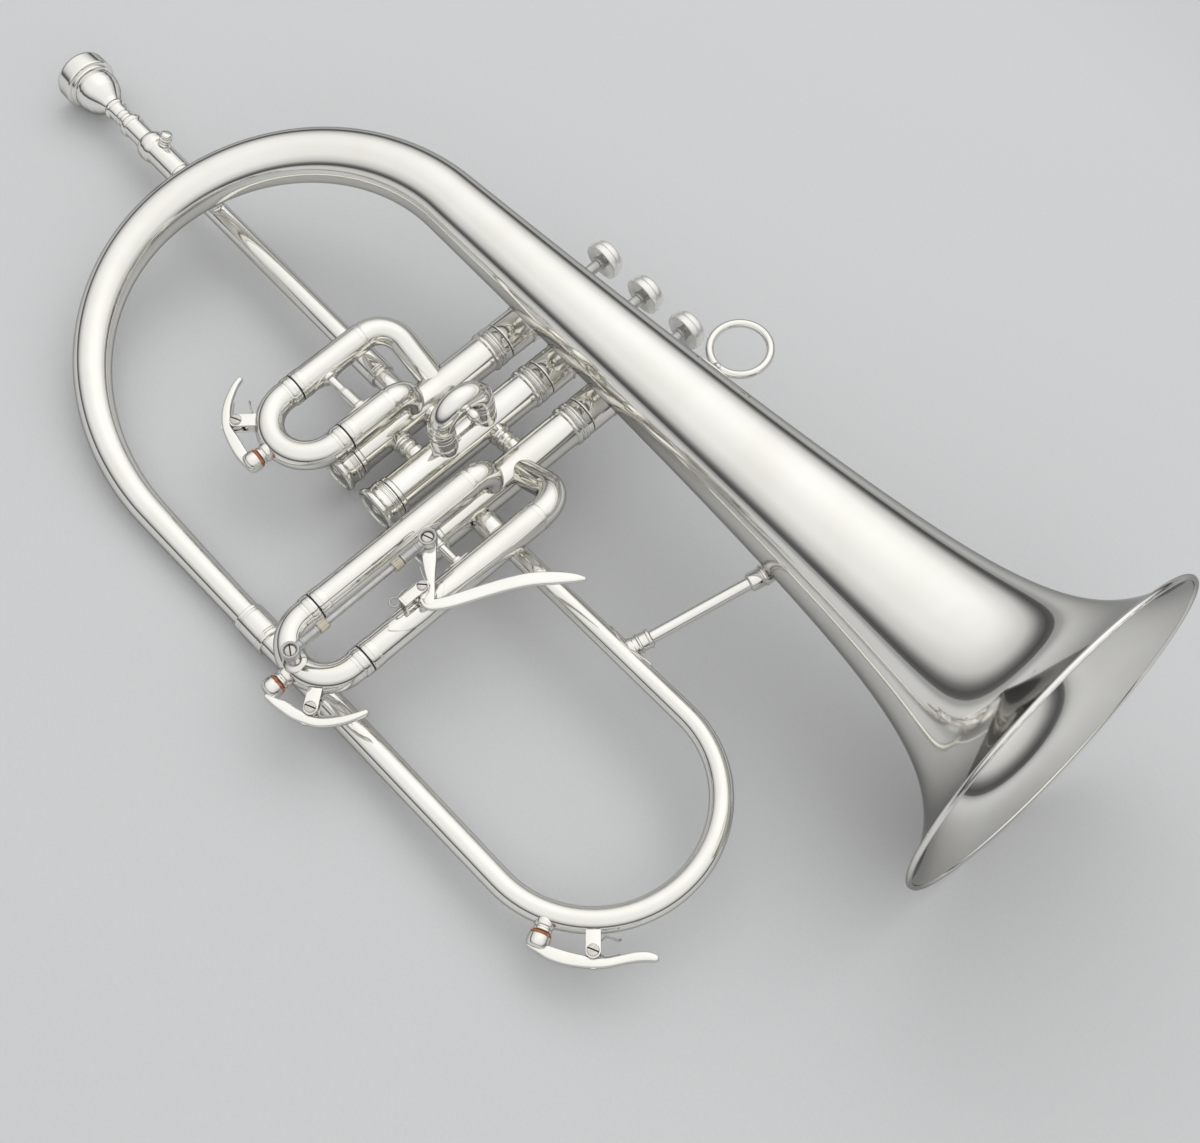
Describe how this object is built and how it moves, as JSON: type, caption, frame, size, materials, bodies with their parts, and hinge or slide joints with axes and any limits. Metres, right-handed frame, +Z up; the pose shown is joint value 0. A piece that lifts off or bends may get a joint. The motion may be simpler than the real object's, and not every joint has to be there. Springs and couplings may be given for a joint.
{
  "type": "flugelhorn",
  "caption": "Valved brass wind instrument with a flared bell, a wide bow, piston valves, pull-out slides with a trigger, water keys and a removable mouthpiece.",
  "frame": {"origin": "centre of the bounding box at the surface that the horn lies on", "axes": "+X forward out of the bell, +Y towards the finger buttons, +Z up, with the horn lying on its left side"},
  "size_m": [0.5456, 0.2738, 0.1551],
  "materials": {
    "silver_plate": "mirror-polished silver plate on brass",
    "nickel": "polished nickel",
    "satin_steel": "satin",
    "cork": "natural cork",
    "pearl_silver": "satin silver buttons on polished stems"
  },
  "bodies": {
    "horn": {"bell": "silver_plate", "bell_brace": "silver_plate", "bell_rim_bead": "silver_plate", "bottom_cap_1": "silver_plate", "bottom_cap_2": "silver_plate", "bottom_cap_3": "silver_plate", "finger_ring": "silver_plate", "first_slide_brace": "silver_plate", "first_slide_sleeve_far": "silver_plate", "first_slide_sleeve_near": "silver_plate", "knuckle_1_2_lower": "silver_plate", "knuckle_1_2_upper": "silver_plate", "knuckle_2_3": "silver_plate", "leadpipe": "silver_plate", "leadpipe_brace": "silver_plate", "leadpipe_ferrule": "silver_plate", "leadpipe_sleeve": "silver_plate", "lower_bow": "silver_plate", "lower_key_saddle": "silver_plate", "outlet_ferrule": "silver_plate", "second_slide_sleeve_lower": "silver_plate", "second_slide_sleeve_upper": "silver_plate", "tail_ferrule": "silver_plate", "third_slide_brace": "silver_plate", "third_slide_sleeve_far": "silver_plate", "third_slide_sleeve_near": "silver_plate", "top_cap_1": "silver_plate", "top_cap_2": "silver_plate", "top_cap_3": "silver_plate", "trigger_pivot_screw": "nickel", "trigger_saddle": "silver_plate", "valve_casing_1": "silver_plate", "valve_casing_2": "silver_plate", "valve_casing_3": "silver_plate", "valve_spring_1": "satin_steel", "valve_spring_2": "satin_steel", "valve_spring_3": "satin_steel"},
    "valve_1": {"piston_1": "nickel", "finger_button_1": "pearl_silver"},
    "valve_2": {"piston_2": "nickel", "finger_button_2": "pearl_silver"},
    "valve_3": {"piston_3": "nickel", "finger_button_3": "pearl_silver"},
    "first_slide": {"first_slide_crook": "silver_plate", "first_key_saddle": "silver_plate"},
    "first_key": {"first_key_lever": "silver_plate", "first_key_cork": "cork"},
    "second_slide": {"second_slide_crook": "silver_plate"},
    "third_slide": {"third_slide_crook": "silver_plate", "third_key_saddle": "silver_plate"},
    "third_key": {"third_key_lever": "silver_plate", "third_key_cork": "cork"},
    "lower_key": {"lower_key_lever": "silver_plate", "lower_key_cork": "cork"},
    "trigger": {"trigger_lever": "silver_plate"},
    "link_rod": {"trigger_link_rod": "satin_steel"},
    "tuning_shank": {"tuning_shank": "silver_plate"},
    "mouthpiece": {"mouthpiece": "silver_plate"},
    "clamp_screw": {"clamp_screw": "nickel"}
  },
  "joints": [
    {"name": "valve_1_press", "type": "slide", "parent": "horn", "child": "valve_1", "axis": [0.0074, -0.9876, -0.1568], "range_m": [0, 0.016], "stiffness_N_per_m": 120, "springref_m": -0.012, "deforming": ["valve_spring_1"]},
    {"name": "valve_2_press", "type": "slide", "parent": "horn", "child": "valve_2", "axis": [0.0074, -0.9876, -0.1568], "range_m": [0, 0.016], "stiffness_N_per_m": 120, "springref_m": -0.012, "deforming": ["valve_spring_2"]},
    {"name": "valve_3_press", "type": "slide", "parent": "horn", "child": "valve_3", "axis": [0.0074, -0.9876, -0.1568], "range_m": [0, 0.016], "stiffness_N_per_m": 120, "springref_m": -0.012, "deforming": ["valve_spring_3"]},
    {"name": "first_slide_pull", "type": "slide", "parent": "horn", "child": "first_slide", "axis": [0.0074, -0.9876, -0.1568], "range_m": [0, 0.016]},
    {"name": "second_slide_pull", "type": "slide", "parent": "horn", "child": "second_slide", "axis": [-0.0465, -0.157, 0.9865], "range_m": [0, 0.006]},
    {"name": "trigger_squeeze", "type": "hinge", "parent": "horn", "child": "trigger", "pos_m": [0.0594, -0.06846, 0.04693], "axis": [-0.0465, -0.157, 0.9865], "range_deg": [0, 32], "stiffness_Nm_per_rad": 0.06, "springref_deg": -17.19},
    {"name": "third_slide_push", "type": "slide", "parent": "horn", "child": "third_slide", "axis": [0.0074, -0.9876, -0.1568], "range_m": [0, 0.00971]},
    {"name": "link_rod_swing", "type": "hinge", "parent": "third_slide", "child": "link_rod", "pos_m": [0.04618, -0.12326, 0.04068], "axis": [-0.0465, -0.157, 0.9865], "range_deg": [0, 4.76]},
    {"name": "first_key_open", "type": "hinge", "parent": "first_slide", "child": "first_key", "pos_m": [-0.05762, -0.07006, 0.0295], "axis": [0.0465, 0.157, -0.9865], "range_deg": [0, 14], "stiffness_Nm_per_rad": 0.02, "springref_deg": -17.19},
    {"name": "third_key_open", "type": "hinge", "parent": "third_slide", "child": "third_key", "pos_m": [0.06487, -0.12839, 0.02599], "axis": [-0.0465, -0.157, 0.9865], "range_deg": [0, 14], "stiffness_Nm_per_rad": 0.02, "springref_deg": -17.19},
    {"name": "lower_key_open", "type": "hinge", "parent": "horn", "child": "lower_key", "pos_m": [0.20658, -0.10886, 0.01753], "axis": [-0.0465, -0.157, 0.9865], "range_deg": [0, 14], "stiffness_Nm_per_rad": 0.02, "springref_deg": -17.19},
    {"name": "tuning_shank_pull", "type": "slide", "parent": "horn", "child": "tuning_shank", "axis": [-0.9988, 0.0241, -0.0432], "range_m": [0, 0.012]},
    {"name": "mouthpiece_pull", "type": "slide", "parent": "tuning_shank", "child": "mouthpiece", "axis": [-0.9988, 0.0241, -0.0432], "range_m": [0, 0.018]},
    {"name": "clamp_screw_turn", "type": "hinge", "parent": "horn", "child": "clamp_screw", "pos_m": [-0.20609, 0.00176, 0.02026], "axis": [-0.0439, 0.3579, 0.9327], "range_deg": [-180, 180]}
  ],
  "couplings": [
    {"joint": "third_slide_push", "follows": "trigger_squeeze", "m_per_rad": 0.017365},
    {"joint": "link_rod_swing", "follows": "trigger_squeeze", "ratio": 0.14847}
  ]
}
